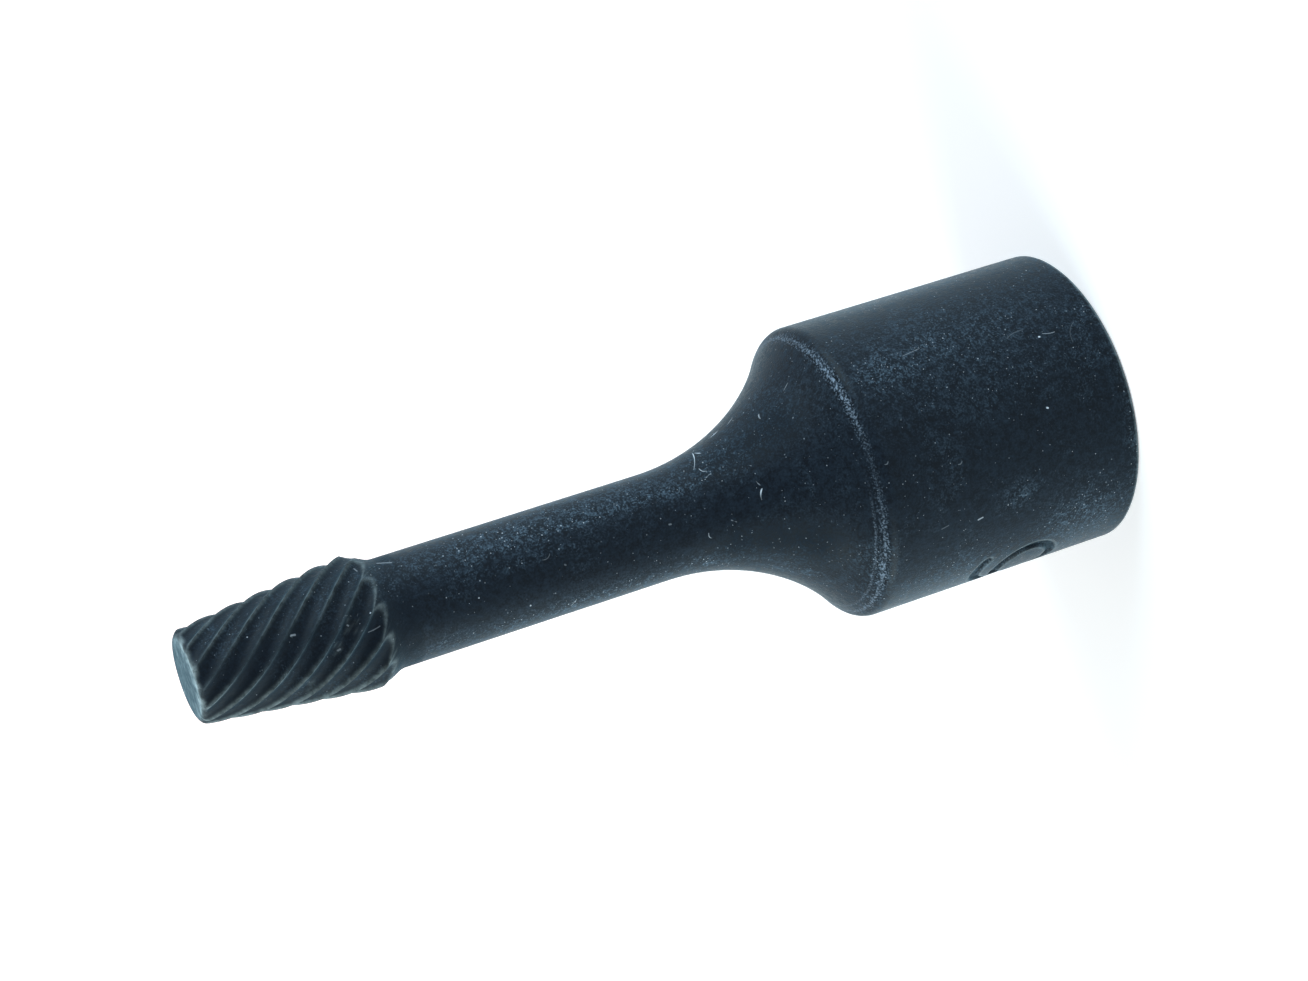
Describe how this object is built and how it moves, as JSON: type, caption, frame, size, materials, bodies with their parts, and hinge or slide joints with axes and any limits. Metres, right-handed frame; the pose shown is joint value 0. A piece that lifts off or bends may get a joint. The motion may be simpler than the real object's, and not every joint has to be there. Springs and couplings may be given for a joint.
{
  "type": "screw extractor",
  "caption": "One-piece steel screw extractor: round drive barrel with a square socket, hollow flare, slim shank and a tapered tip with left-hand spiral flutes.",
  "frame": {"origin": "centre of the drive end's flat face, which the part stands on", "axes": "+Z along the axis from the drive end to the fluted tip; +X and +Y are square to the sides of the drive socket"},
  "size_m": [0.018, 0.018, 0.0565],
  "materials": {
    "phosphated_steel": "matte"
  },
  "bodies": {
    "root": {"screw_extractor": "phosphated_steel"}
  },
  "joints": []
}
